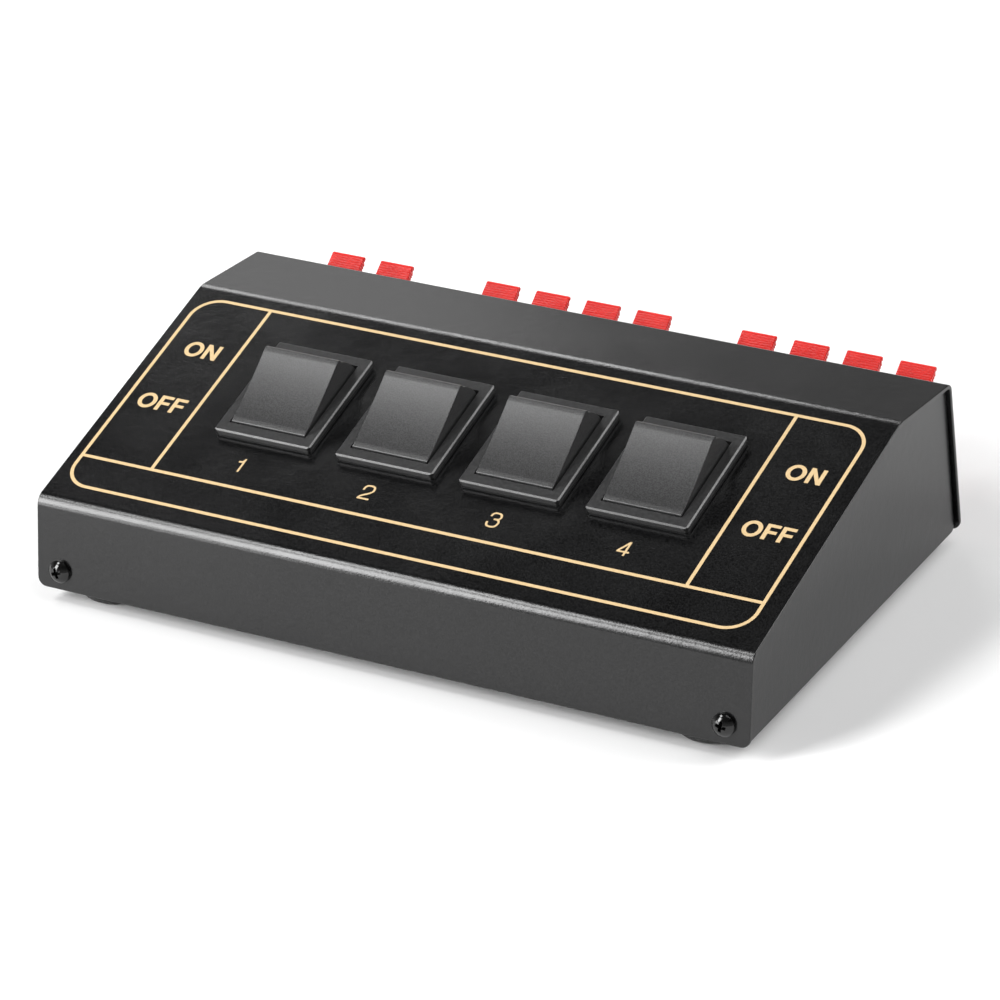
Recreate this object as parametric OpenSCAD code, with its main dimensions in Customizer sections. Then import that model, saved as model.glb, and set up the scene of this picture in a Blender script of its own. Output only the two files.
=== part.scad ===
// Desk-top speaker selector: a sloped steel case with four rocker switches on
// its face and three blocks of push terminals on its rear wall.
// X runs across the front, Y to the rear, Z up. The feet stand on Z = 0.

/* [Case] */
// Width of the cover
case_w = 182; // [180:0.5:200]
// Height of the front wall
front_h = 21; // [19:0.5:24]
// How far the front wall leans back, in degrees
front_lean = 9.5; // [6:0.5:12]
// Length of the sloped face
slope_len = 76; // [74:0.5:84]
// Tilt of the sloped face, in degrees
slope_tilt = 15.5; // [14.5:0.5:18]
// Length of the top band behind the slope
band_len = 26; // [24:0.5:32]
// Fall of the top band towards the rear, in degrees
band_fall = 5.6; // [2:0.2:6]
// How far the rear wall leans forward, in degrees
rear_lean = 5.2; // [3:0.2:6]

/* [Sheet metal] */
// Thickness of the sheet steel
sheet = 1; // [0.8:0.1:1.1]
// How far the cover stands past the side panels
overhang = 1; // [0.6:0.1:1.5]
// Gap between the side panels and the cover
cover_gap = 0.15; // [0.1:0.05:0.3]
// Outside radius of the front bend
front_bend_r = 2.5; // [2:0.25:4]
// Outside radius of the bend between slope and band
upper_bend_r = 6; // [3:0.5:8]
// Outside radius of the rear bend
rear_bend_r = 2; // [1.5:0.25:2.5]
// Radius of the cover's lower corners
corner_r = 2.2; // [1:0.2:3]
// Height of the side panels' lower edge above the cover's edge
tray_lift = 0.4; // [0.2:0.1:0.8]
// Lean of the side panels' rear edge, in degrees
side_lean = 4.2; // [2.6:0.2:4.4]
// Length of the tabs that take the cover screws
tab_w = 12; // [9:0.5:16]
// Height of the tabs that take the cover screws
tab_h = 9; // [8:0.5:11]

/* [Rocker switches] */
// Distance between neighbouring switches
switch_pitch = 32; // [31:0.5:33]
// Distance from the front bend up the slope to the switches' middle
switch_up = 45.7; // [44:0.1:47]
// Width of the bezel
bezel_w = 25.4; // [25:0.1:27]
// Length of the bezel up the slope
bezel_l = 31; // [30.4:0.2:33]
// Height of the bezel above the face
bezel_h = 1.8; // [1.4:0.1:2]
// Width of the switch body
body_w = 22; // [21.8:0.1:22.4]
// Length of the switch body
body_l = 28; // [27.9:0.1:29]
// Depth of the switch body under the face
body_d = 14.5; // [14:0.1:15.5]
// Width of the rocker
rocker_w = 19.5; // [19:0.1:19.6]
// Radius of the rocker's ends about its pivot
rocker_r = 12.6; // [12.2:0.1:12.6]
// Depth of the rocker's pivot under the face
pivot_d = 2.8; // [2.6:0.1:3]
// Tilt of the rocker to each side, in degrees
rocker_tilt = 18.5; // [14:0.5:18.5]
// Angle from the pivot's level up to the rocker's top edge, in degrees
rocker_top = 40.4; // [39:0.2:42]
// Depth of the hollow in the rocker's top
rocker_dish = 0.4; // [0.2:0.1:0.6]
// Radius of the pivot stubs
stub_r = 1.5; // [1.2:0.1:1.6]
// Distance of the two contact sets from the switch's middle
pole_x = 5; // [4.9:0.1:5.2]
// Distance from the pivot to the tip of the plungers
plunger_reach = 6.2; // [5.9:0.1:6.3]
// Radius of the plungers
plunger_r = 1.3; // [1.1:0.1:1.4]
// Tilt of the contact blades to each side, in degrees
blade_tilt = 6; // [5:0.5:6.5]
// Length of each arm of a contact blade
blade_arm = 8.5; // [8.2:0.1:8.8]
// Width of a contact blade
blade_w = 3.4; // [3:0.1:3.6]
// Width of the solder tags
tag_w = 4.8; // [4.6:0.1:4.9]
// Length of the solder tags under the body
tag_l = 7; // [5:0.5:7.5]

/* [Push terminals] */
// Height of the terminal blocks' middle on the rear wall
block_up = 20.8; // [20.8:0.1:21]
// Distance of the input block from the case's left side
input_in = 2.4; // [2.2:0.1:2.6]
// Distance of the second output block from the case's right side
output_in = 2; // [1.8:0.1:2.2]
// Gap between the two output blocks
output_gap = 0.9; // [0.4:0.1:1.4]
// Distance between neighbouring terminals
pole_pitch = 13.5; // [13.3:0.1:13.5]
// Height of a block's faceplate
plate_h = 27; // [26:0.2:27]
// Thickness of a block's faceplate
plate_t = 2.4; // [2:0.1:2.8]
// Length of the faceplate's screw ears past the outer terminals
ear = 6.5; // [6.3:0.1:6.5]
// Depth of a block behind the wall
block_d = 12; // [12:0.2:13]
// Width of a lever
lever_w = 8.8; // [8.4:0.1:9]
// Thickness of a lever
lever_t = 1.8; // [1.5:0.1:1.9]
// Reach of a lever's arm from the wall to its elbow
elbow_out = 9.85; // [9:0.1:11]
// Length of a lever's thumb tab
tab_len = 4.9; // [4:0.1:6]
// Angle of the thumb tab above the arm, in degrees
tab_rise = 31; // [20:1:40]
// Travel of a lever, in degrees
lever_travel = 14; // [8:1:14]
// Radius of the wire holes
wire_hole_r = 1.5; // [1.2:0.1:1.6]

/* [Fasteners and feet] */
// Distance of the cover screws from the case's sides
screw_in = 6.2; // [6:0.1:7]
// Height of the cover screws
screw_up = 4.5; // [4.4:0.1:4.5]
// Radius of the screws' shanks
screw_r = 1.45; // [1.3:0.05:1.5]
// Radius of the screws' heads
head_r = 2.7; // [2.5:0.1:2.7]
// Height of the screws' heads
head_h = 2.1; // [1.6:0.1:2.4]
// Radius of the feet
foot_r = 9; // [7:0.5:10]
// Height of the feet
foot_h = 4.4; // [3:0.2:6]
// Distance of the feet's middle from the case's sides
foot_in = 14.3; // [13:0.1:17]
// Distance of the front feet from the front edge
foot_front = 11.6; // [11:0.1:14]
// Distance of the rear feet from the front edge
foot_rear = 92.6; // [88:0.1:94]

/* [Wiring] */
// Radius of the insulated leads
lead_r = 0.9; // [0.6:0.1:1]
// Radius of the bare bus wires
bus_r = 0.5; // [0.4:0.1:0.6]
// Height at which the leads cross the case
lead_lane = 4.5; // [3.5:0.1:6]

/* [Hidden] */
switches = [1:4];
red_levers = [1:10];
channels = [-1, 1];
$fn = 64;
small = 24;
eps = 0.01;

// Cover profile: the sharp corners of its outside as (y, z), front to rear
along = [1, 0];
front_foot = [0, 0];
front_edge = [front_h * tan(front_lean), front_h];
upper_edge = front_edge + slope_len * [cos(slope_tilt), sin(slope_tilt)];
rear_edge = upper_edge + band_len * [cos(band_fall), -sin(band_fall)];
rear_foot = [rear_edge[0] + rear_edge[1] * tan(rear_lean), 0];
profile = [front_foot, front_edge, upper_edge, rear_edge, rear_foot];
bends = [0, front_bend_r, upper_bend_r, rear_bend_r, 0];
bend_steps = 9;

// Switches
hole_gap = 0.1;                                  // panel cut-out to switch body
mouth_l = rocker_r + 0.02;                       // half length of the bezel's opening
mouth_w = rocker_w / 2 + 0.35;                   // half width of the bezel's opening
cavity_l = rocker_r + 0.35;                      // half length of the body's hollow
floor_t = 1.6;
lip = 0.4;                                       // rocker's rounded lip past its ends
lip_t = 0.9;
cap_wall = 1.2;
cap_roof = 1.6;
skirt_turn = 10;                                 // angle that the skirt reaches below the pivot
boss_low = 3.3;                                  // how far the plunger bosses reach below the pivot
stub_fit = 0.05;
boss_r = 2.3;
plunger_fit = 0.06;
spring_room = 5;
spring_wire = 0.2;
stub_in = 0.6;                                   // how far the stubs reach into the body's sides
latch_out = 0.6;                                 // barb that holds the body in the panel
latch_l = 4;
divider_w = 1.2;                                 // wall between the two contact sets
divider_up = 1.5;                                // how far it stands above the blades' middle
bezel_step = 0.3;
bezel_low = 0.45;                                // share of the bezel's height below the step
bezel_chamfer = 0.35;
blade_t = 0.5;
blade_dip = 5;                                   // each arm rises from the middle, in degrees
blade_top = pivot_d + plunger_reach + 0.2;       // depth of the blade's upper face at its middle
blade_pin = blade_top + blade_t;                 // depth of the blade's rocking edge
blade_seat = 0.1;
button_r = 1.1;
button_h = 0.5;
button_s = 7.6;                                  // distance of the contact buttons from the middle
button_gap = 0.12;
pad_l = 2.8;                                     // pad that carries a fixed contact
pad_t = 0.6;
fixed_h = 0.4;                                   // height of a fixed contact
cheek_w = 0.5;                                   // cheeks that keep a blade on its tag
tag_hole_r = 0.8;
tag_hole_up = 2;
tag_t = 0.8;
tag_fit = 0.05;
end_tag_s = 8.2;                                 // distance of the end tag from the middle
tag_tip = body_d + tag_l;

// Terminal blocks, seen in section: y out of the wall, z up from the block's middle
inner_gap = 0.3;
pole_w = lever_w + 0.5;                          // width of a lever's chamber
mid_wall = 0.7;                                  // half thickness between the two rows
chamber_top = 10.4;
block_h = 22.8;
back_wall = 1.2;
lever_pivot = [-4, 8.2];
hub_r = 1.6;
pin_r = 0.8;
pin_l = 1;
pin_fit = 0.05;
elbow = [elbow_out, 9.36];
tab_dir = [cos(tab_rise), sin(tab_rise)];
tab_down = [sin(tab_rise), -cos(tab_rise)];
thumb_tip = elbow + tab_len * tab_dir;
bead_r = 0.6;
bead = thumb_tip + bead_r * tab_down - 0.75 * bead_r * tab_dir;
tooth = 0.35;
teeth = 4;
arm_drop = lever_pivot[1] - elbow[1] + lever_t;  // arm's underside below the pivot
slot_gap = 0.25;
slot_low = lever_pivot[1] - (plate_t - lever_pivot[0]) * tan(lever_travel)
    - arm_drop / cos(lever_travel) - slot_gap;   // lower edge of a lever's slot
leg_tip = lever_pivot + [-1.5, -3.4];
leg_w = 1.4;
wire_up = 3.1;                                   // height of the wire holes off the middle
funnel_r = wire_hole_r + 0.6;
funnel_d = 1;
clip_w = 5;
clip_t = 0.4;
clip_tag = 4.8;
clip_tag_up = 4;
clip_floor = 6.2;                                // length of a clip's floor
tongue_top = 5.8;
tongue_back = 3.4;                               // how far the tongue leans back
ear_hole_in = 3.5;                               // rivet hole to the end of the ear
rivet_r = 1.5;
rivet_fit = 0.1;
rivet_head_r = 2.8;
rivet_head_h = 1.2;
rivet_set = 0.8;                                 // spread end behind the wall
input_x = (plate_w(2) - case_w) / 2 + input_in;
output_b_x = (case_w - plate_w(4)) / 2 - output_in;
output_a_x = output_b_x - plate_w(4) - output_gap;
blocks = [[input_x, 2], [output_a_x, 4], [output_b_x, 4]];
red_x = concat(
    [for (c = [-0.5, 0.5]) input_x + c * pole_pitch],
    [for (c = [-1.5:1.5]) output_a_x + c * pole_pitch],
    [for (c = [-1.5:1.5]) output_b_x + c * pole_pitch]
);
output_x = [for (i = [2:9]) red_x[i]];

// Wiring
touch = 0.05;                                    // gap at a soldered joint
tag_end = block_d + clip_tag;
tag_mid = clip_tag_up + clip_t / 2;
turn_out = 3.4;                                  // how far a lead runs straight off its tag
bus_left = [3, 5];                               // up the slope, and under the switch bodies
bus_right = [-3, 4];
tie_r = 0.8 * bus_r;                             // short wires from a bus to its tags
supply_left = (red_x[0] + red_x[1]) / 2 + 2;     // where the leads meet the buses
supply_right = red_x[1] + 2.5;
lead_bend = 5;
lead_step = 3.5;                                 // rise that keeps the two leads apart
return_out = 0.6 * clip_tag;                     // return wires along the clips' tags
return_drop = 2.2;

// Cover screws and feet
screw_x = case_w / 2 - screw_in;
foot_x = case_w / 2 - foot_in;
dome_r = 3.4;                                    // radius of the screw heads' dome
recess_w = 0.7;
recess_l = 3;
recess_d = 1.3;
shank_l = 2 * sheet + 4;
foot_edge = 2.6;                                 // rounded lower edge of the feet

// The frame's origin lies under the middle of the whole depth, from the dome of
// the front screws to the thumb beads of the lower levers
front_reach = screw_up * tan(front_lean) + (dome_r - head_h) * cos(front_lean)
    - sqrt(dome_r * dome_r - recess_w * recess_w / 4);
wall_at_block = rear_foot[0] - block_up * tan(rear_lean);
rear_reach = wall_at_block + bead[0] * cos(rear_lean) + bead[1] * sin(rear_lean) + bead_r;
origin_y = -(front_reach + rear_reach) / 2;
ground = foot_h - tray_lift;

function unit(v) = v / norm(v);

// Unit vector of a path's leg, and the point where two lines meet
function leg(path, i) = unit(path[i + 1] - path[i]);
function meet(p, d, q, e) = p + d * cross(q - p, e) / cross(d, e);
function inward(d) = [d[1], -d[0]];

// A path moved inward by a distance, with its ends kept at their level
function inset(path, by) =
    let (n = len(path) - 1)
    [for (i = [0:n])
        let (a = max(i - 1, 0), b = min(i, n - 1))
        let (p = path[a] + by * inward(leg(path, a)), q = path[b] + by * inward(leg(path, b)))
        i == 0 || i == n
            ? meet(i == 0 ? q : p, i == 0 ? leg(path, b) : leg(path, a), path[i], along)
            : meet(p, leg(path, a), q, leg(path, b))];

// Points of an arc that rounds the corner b between a and c
function round_corner(a, b, c, r) =
    let (u = unit(a - b), v = unit(c - b))
    let (half = acos(u * v) / 2)
    let (mid = b + unit(u + v) * r / sin(half))
    let (from = b + u * r / tan(half) - mid, turn = 180 - 2 * half)
    let (side = cross(u, v) > 0 ? 1 : -1)
    [for (k = [0:bend_steps])
        let (w = side * -turn * k / bend_steps)
        mid + [from[0] * cos(w) - from[1] * sin(w), from[0] * sin(w) + from[1] * cos(w)]];

function bend_path(path, radii) =
    let (n = len(path) - 1)
    [for (i = [0:n])
        for (p = i == 0 || i == n || radii[i] <= 0
            ? [path[i]]
            : round_corner(path[i - 1], path[i], path[i + 1], radii[i]))
            p];

function backwards(list) = [for (i = [len(list) - 1:-1:0]) list[i]];

// Case points from places on the sloped face and on the rear wall
function slope_pt(x, s, t) = [
    x,
    front_edge[0] + s * cos(slope_tilt) - t * sin(slope_tilt),
    front_edge[1] + s * sin(slope_tilt) + t * cos(slope_tilt)
];
function rear_pt(x, out, high) = [
    x,
    wall_at_block + out * cos(rear_lean) - high * sin(rear_lean),
    block_up + out * sin(rear_lean) + high * cos(rear_lean)
];

function switch_x(i) = (i - 2.5) * switch_pitch;

module in_frame() translate([0, origin_y, ground]) children();

module on_slope(x, s) translate(slope_pt(x, s, 0)) rotate([slope_tilt, 0, 0]) children();

module at_switch(i) in_frame() on_slope(switch_x(i), switch_up) children();

module at_rocker(i) at_switch(i) translate([0, 0, -pivot_d]) rotate([rocker_tilt, 0, 0]) children();

module on_front(x, high)
    translate([x, high * tan(front_lean), high]) rotate([-front_lean, 0, 0]) children();

module on_rear(x) translate(rear_pt(x, 0, 0)) rotate([rear_lean, 0, 0]) children();

module on_rear_foot(x, high)
    translate([x, rear_foot[0] - high * tan(rear_lean), high]) rotate([rear_lean, 0, 0]) children();

// A side view, drawn as (y, z), made w wide about x = 0
module across(w) rotate([90, 0, 90]) linear_extrude(w, center = true) children();

module rounded(w, l, r) {
    square([w - 2 * r, l], center = true);
    square([w, l - 2 * r], center = true);
    for (x = [-1, 1], y = [-1, 1]) translate([x * (w / 2 - r), y * (l / 2 - r)]) circle(r, $fn = small);
}

// A round bar along local -y, from y = 0
module bar_y(r, l, n = 48) rotate([90, 0, 0]) cylinder(r = r, h = l, $fn = n);

// Side vectors carried along a route of unit tangents without twist
function carried(t, i, side) = i == len(t)
    ? []
    : let (s = unit(side - (side * t[i]) * t[i])) concat([s], carried(t, i + 1, s));

// An unbroken tube along a list of points, a ring at each
module tube(route, r, sides = 8) {
    last = len(route) - 1;
    heads = [for (k = [0:last]) unit(route[min(k + 1, last)] - route[max(k - 1, 0)])];
    start = abs(heads[0][0]) < 0.8 ? [1, 0, 0] : [0, 1, 0];
    outs = carried(heads, 0, start);
    points = [for (k = [0:last]) for (j = [0:sides - 1])
        route[k] + r * (cos(360 * j / sides) * outs[k] + sin(360 * j / sides) * cross(heads[k], outs[k]))];
    walls = [for (k = [0:last - 1]) for (j = [0:sides - 1])
        let (a = k * sides + j, b = k * sides + (j + 1) % sides)
        each [[a, a + sides, b], [b, a + sides, b + sides]]];
    first = [for (j = [1:sides - 2]) [0, j, j + 1]];
    end = [for (j = [1:sides - 2]) [last * sides, last * sides + j + 1, last * sides + j]];
    polyhedron(points, concat(walls, first, end), convexity = 8);
}

// A route with each corner eased into a short curve
function eased(p, by) =
    let (n = len(p) - 1)
    concat([p[0]], [for (i = [1:1:n - 1])
        let (a = p[i] + unit(p[i - 1] - p[i]) * min(by, norm(p[i - 1] - p[i]) / 2.2))
        let (c = p[i] + unit(p[i + 1] - p[i]) * min(by, norm(p[i + 1] - p[i]) / 2.2))
        for (w = [0:0.25:1]) (1 - w) * (1 - w) * a + 2 * w * (1 - w) * p[i] + w * w * c], [p[n]]);

// A coil spring along z, one unbroken tube
module coil(r, wire_r, h, turns) {
    steps = turns * 11;
    tube([for (k = [0:steps]) [r * cos(360 * k / 11), r * sin(360 * k / 11), h * k / steps]], wire_r, 5);
}

// A straight bare wire between two points
module rod(a, b, r) {
    d = b - a;
    translate(a) rotate([0, acos(d[2] / norm(d)), atan2(d[1], d[0])])
        cylinder(r = r, h = norm(d), $fn = small);
}

module cover_sheet_2d() {
    inner = inset(profile, sheet);
    polygon(concat(
        bend_path(profile, bends),
        backwards(bend_path(inner, [for (r = bends) r - sheet]))
    ));
}

module top_cover() color("#2b2b2c") in_frame() difference() {
    across(case_w) cover_sheet_2d();
    for (x = channels) translate([x * case_w / 2, 0, 0]) difference() {
        cube([2 * corner_r, 4 * rear_foot[0], 2 * corner_r], center = true);
        translate([-x * corner_r, 0, corner_r]) rotate([90, 0, 0])
            cylinder(r = corner_r, h = 5 * rear_foot[0], center = true);
    }
    for (i = switches) on_slope(switch_x(i), switch_up)
        cube([body_w + 2 * hole_gap, body_l + 2 * hole_gap, 4 * sheet], center = true);
    for (x = channels) {
        on_front(x * screw_x, screw_up) translate([0, 2 * sheet, 0]) bar_y(screw_r + hole_gap, 4 * sheet);
        on_rear_foot(x * screw_x, screw_up) translate([0, 2 * sheet, 0]) bar_y(screw_r + hole_gap, 4 * sheet);
    }
    for (b = blocks) on_rear(b[0]) {
        cube([block_w(b[1]) + 2 * inner_gap, 4 * sheet, block_h + 2 * inner_gap], center = true);
        for (x = channels) translate([x * rivet_x(b[1]), 2 * sheet, 0]) bar_y(rivet_r + rivet_fit, 4 * sheet);
    }
}

// Side view of a side panel, closed along its lower edge
module side_panel_2d() {
    in = inset(profile, sheet + cover_gap);
    in_bends = [for (r = bends) max(r - sheet - cover_gap, 0)];
    rear_top = in[3] - [cover_gap, 0];
    rear_low = [rear_top[0] + (rear_top[1] - tray_lift) * tan(side_lean), tray_lift];
    front_low = meet(in[0], leg(in, 0), [0, tray_lift], along);
    path = [front_low, in[1], in[2], rear_top, rear_low, front_low];
    eased = bend_path(path, [0, in_bends[1], in_bends[2], in_bends[3], 1.5 * sheet, 0]);
    polygon([for (k = [0:len(eased) - 2]) eased[k]]);
}

module base_tray() color("#3c3c3e") in_frame() {
    tray_w = case_w - 2 * overhang;
    in = inset(profile, sheet);
    floor_front = in[0][0] + 2 * sheet;
    floor_rear = in[4][0] - 2 * sheet;
    tab_l = tab_w + sheet / 2;
    tab_x = (tray_w - sheet - tab_l) / 2;
    hem_l = tab_w - sheet / 2;
    hem_x = (tray_w - 1.2 * sheet - hem_l) / 2;
    difference() {
        union() {
            for (x = channels) translate([x * (tray_w - sheet) / 2, 0, 0]) across(sheet) side_panel_2d();
            translate([-tray_w / 2 + sheet / 2, floor_front, tray_lift])
                cube([tray_w - sheet, floor_rear - floor_front, sheet]);
            for (x = channels) {
                on_front(x * tab_x, 0) tab(tab_l, sheet);
                on_rear_foot(x * tab_x, 0) tab(tab_l, -2 * sheet);
                translate([x * hem_x - hem_l / 2, in[0][0] + sheet / 2, tray_lift])
                    cube([hem_l, 2 * sheet, sheet]);
                translate([x * hem_x - hem_l / 2, floor_rear - eps, tray_lift])
                    cube([hem_l, 1.5 * sheet, sheet]);
            }
        }
        for (x = channels) {
            on_front(x * screw_x, screw_up) translate([0, 4 * sheet, 0]) bar_y(screw_r + tag_fit, 6 * sheet);
            on_rear_foot(x * screw_x, screw_up) bar_y(screw_r + tag_fit, 6 * sheet);
        }
    }
}

// A tab that lies against the inside of the front or rear wall, y behind its outside
module tab(l, y) {
    low = tray_lift + sheet / 2;
    translate([-l / 2, y, low]) cube([l, sheet, tab_h - low]);
}

module foot() rotate_extrude($fn = 72) intersection() {
    square([foot_r, foot_h]);
    union() {
        translate([0, foot_edge]) square([foot_r, foot_h]);
        square([foot_r - foot_edge, foot_h]);
        translate([foot_r - foot_edge, foot_edge]) circle(foot_edge, $fn = 48);
    }
}

module feet() color("#1b1b1b") translate([0, origin_y, 0])
    for (x = channels, y = [foot_front, foot_rear]) translate([x * foot_x, y, 0]) foot();

// Pan-head screw along +y with its head's underside at y = 0
module cover_screw() {
    rotate([90, 0, 0]) difference() {
        rotate_extrude() intersection() {
            square([head_r, head_h]);
            translate([0, head_h - dome_r]) circle(dome_r);
        }
        for (a = [0, 90]) rotate([0, 0, a])
            translate([-recess_l / 2, -recess_w / 2, head_h - recess_d]) cube([recess_l, recess_w, head_h]);
    }
    translate([0, shank_l, 0]) bar_y(screw_r, shank_l + eps, small);
}

module cover_screws_front() color("#101010") in_frame() for (x = channels)
    on_front(x * screw_x, screw_up) cover_screw();

module cover_screws_rear() color("#101010") in_frame() for (x = channels)
    on_rear_foot(x * screw_x, screw_up) rotate([0, 0, 180]) cover_screw();

// Side view of the whole rocker about its pivot, level
module rocker_2d(r) {
    edge = (r + lip) * [cos(rocker_top), sin(rocker_top)];
    low = -r * sin(skirt_turn);
    dish_r = edge[0] * edge[0] / (2 * rocker_dish);
    difference() {
        union() {
            intersection() {
                circle(r, $fn = 128);
                translate([-r, low]) square([2 * r, edge[1] - low]);
            }
            intersection() {
                circle(r + lip, $fn = 128);
                translate([-r - lip, edge[1] - lip_t]) square([2 * (r + lip), lip_t]);
            }
        }
        translate([0, edge[1] - rocker_dish + dish_r]) circle(dish_r, $fn = 360);
    }
}

module rocker_cap(i) color("#4a4a4c") at_rocker(i) {
    roof = (rocker_r + lip) * sin(rocker_top) - rocker_dish - cap_roof;
    inner_r = rocker_r - cap_wall;
    difference() {
        union() {
            difference() {
                across(rocker_w) rocker_2d(rocker_r);
                across(rocker_w - 2 * cap_wall) intersection() {
                    circle(inner_r, $fn = 96);
                    translate([-inner_r, -rocker_r]) square([2 * inner_r, rocker_r + roof]);
                }
            }
            for (x = channels) translate([x * pole_x, 0, -boss_low])
                cylinder(r = boss_r, h = roof + boss_low + eps);
            for (x = channels) translate([x * (rocker_w / 2 - eps), 0, 0])
                rotate([0, x * 90, 0]) cylinder(r = stub_r, h = mouth_w - rocker_w / 2 + stub_in);
        }
        for (x = channels) translate([x * pole_x, 0, -rocker_r])
            cylinder(r = plunger_r + plunger_fit, h = rocker_r + spring_room);
    }
}

module rocker_plungers(i) color("#d9d4c4") at_rocker(i) for (x = channels)
    translate([x * pole_x, 0, plunger_r - plunger_reach]) {
        sphere(plunger_r, $fn = 48);
        cylinder(r = plunger_r, h = plunger_reach - plunger_r);
    }

module plunger_springs(i) color("#b8bcc0") at_rocker(i) for (x = channels)
    translate([x * pole_x, 0, spring_wire + touch])
        coil(plunger_r - spring_wire - 0.1, spring_wire, spring_room - 2 * (spring_wire + touch), 5);

module contact_blades(i) color("#c98a4b") at_switch(i) for (x = channels)
    translate([x * pole_x, 0, -blade_pin]) rotate([-blade_tilt, 0, 0]) {
        rise = blade_arm * tan(blade_dip);
        across(blade_w) polygon([
            [0, 0], [blade_arm, rise], [blade_arm, rise + blade_t],
            [0, blade_t], [-blade_arm, rise + blade_t], [-blade_arm, rise]
        ]);
        rotate([-blade_dip, 0, 0]) translate([0, -button_s, -button_h])
            cylinder(r = button_r, h = button_h + eps, $fn = small);
    }

module switch_housing(i) color("#3a3a3b") at_switch(i) difference() {
    low_h = bezel_low * bezel_h;
    union() {
        linear_extrude(low_h) rounded(bezel_w - 2 * bezel_step, bezel_l - 2 * bezel_step, 2 * bezel_step);
        intersection() {
            translate([0, 0, low_h - eps]) linear_extrude(bezel_h) rounded(bezel_w, bezel_l, 3 * bezel_step);
            across(bezel_w + 1) chamfered(bezel_l, bezel_h, bezel_chamfer);
            rotate([0, 0, 90]) across(bezel_l + 1) chamfered(bezel_w, bezel_h, bezel_chamfer);
        }
        translate([-body_w / 2, -body_l / 2, -body_d]) cube([body_w, body_l, body_d + eps]);
        for (y = channels) translate([0, y * body_l / 2, -sheet - cover_gap]) across(body_w / 2) polygon([
            [-latch_out, 0], [latch_out, 0], [latch_out, -latch_out], [0, -latch_l], [-latch_out, -latch_out]
        ]);
    }
    translate([-mouth_w, -mouth_l, -body_d + floor_t]) cube([2 * mouth_w, 2 * mouth_l, body_d + bezel_h]);
    difference() {
        translate([-mouth_w, -cavity_l, -body_d + floor_t]) cube([2 * mouth_w, 2 * cavity_l, body_d - floor_t]);
        translate([-divider_w / 2, -cavity_l, -body_d])
            cube([divider_w, 2 * cavity_l, body_d - blade_top + divider_up]);
    }
    rotate([0, 90, 0]) translate([pivot_d, 0, 0])
        cylinder(r = stub_r + stub_fit, h = bezel_w, center = true);
    for (x = channels, s = [0, -end_tag_s]) translate([x * pole_x, s, -body_d])
        cube([tag_w + 2 * tag_fit, tag_t + 2 * tag_fit, 4 * floor_t], center = true);
}

module chamfered(l, h, c) polygon([
    [-l / 2, -1], [l / 2, -1], [l / 2, h - c], [l / 2 - c, h], [c - l / 2, h], [-l / 2, h - c]
]);

// The middle tag carries the blade on its top edge; the end tag has the fixed contact
module switch_terminals() color("#c9ccd0") for (i = switches) at_switch(i) for (x = channels)
    translate([x * pole_x, 0, 0]) difference() {
        seat = -blade_pin - blade_seat;
        button_top = -(blade_pin + button_s * tan(blade_tilt - blade_dip) + button_h + button_gap);
        pad_top = button_top - fixed_h;
        union() {
            translate([-tag_w / 2, -tag_t / 2, -tag_tip]) cube([tag_w, tag_t, tag_tip + seat]);
            for (e = channels) translate([e * (tag_w - cheek_w) / 2 - cheek_w / 2, -tag_t / 2, seat - eps])
                cube([cheek_w, tag_t, 2 * blade_t]);
            translate([-tag_w / 2, -end_tag_s - tag_t / 2, -tag_tip])
                cube([tag_w, tag_t, tag_tip + pad_top - eps]);
            translate([-blade_w / 2, -button_s - pad_l / 2, pad_top - pad_t]) cube([blade_w, pad_l, pad_t]);
            translate([0, -button_s, pad_top - eps]) cylinder(r = button_r, h = fixed_h + eps, $fn = small);
        }
        translate([0, tag_t, -tag_tip + tag_hole_up]) bar_y(tag_hole_r, end_tag_s + 3 * tag_t, small);
    }

function block_w(n) = n * pole_pitch + 0.4;
function plate_w(n) = n * pole_pitch + 2 * ear;
function rivet_x(n) = plate_w(n) / 2 - ear_hole_in;
function pole_offsets(n) = [for (k = [0:n - 1]) (k - (n - 1) / 2) * pole_pitch];

// One row's hollows in a block; the lower row is its mirror image
module row_hollows(n) for (x = pole_offsets(n)) translate([x, 0, 0]) {
    translate([-pole_w / 2, back_wall - block_d, mid_wall])
        cube([pole_w, block_d - back_wall + eps, chamber_top - mid_wall]);
    translate([-pole_w / 2, -eps, slot_low]) cube([pole_w, plate_t + 1, chamber_top - slot_low]);
    translate([0, plate_t + 1, wire_up]) bar_y(wire_hole_r, plate_t + 2);
    translate([0, plate_t - funnel_d, wire_up]) rotate([-90, 0, 0])
        cylinder(r1 = wire_hole_r, r2 = funnel_r, h = funnel_d + eps, $fn = 48);
    translate([0, lever_pivot[0], lever_pivot[1]]) rotate([0, 90, 0])
        cylinder(r = pin_r + pin_fit, h = pole_w + 2 * pin_l, center = true, $fn = 48);
    translate([-clip_w / 2 - tag_fit, -block_d - 1, clip_tag_up - tag_fit])
        cube([clip_w + 2 * tag_fit, back_wall + 2, clip_t + 2 * tag_fit]);
}

module terminal_block(n, x) color("#1d1d1f") in_frame() on_rear(x) difference() {
    union() {
        rotate([-90, 0, 0]) linear_extrude(plate_t) rounded(plate_w(n), plate_h, 1.2);
        translate([-block_w(n) / 2, -block_d, -block_h / 2]) cube([block_w(n), block_d + eps, block_h]);
    }
    row_hollows(n);
    mirror([0, 0, 1]) row_hollows(n);
    for (s = channels) translate([s * rivet_x(n), plate_t + 1, 0]) bar_y(rivet_r + rivet_fit, plate_t + 2);
}

module input_block() terminal_block(2, input_x);
module output_block_a() terminal_block(4, output_a_x);
module output_block_b() terminal_block(4, output_b_x);

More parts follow.
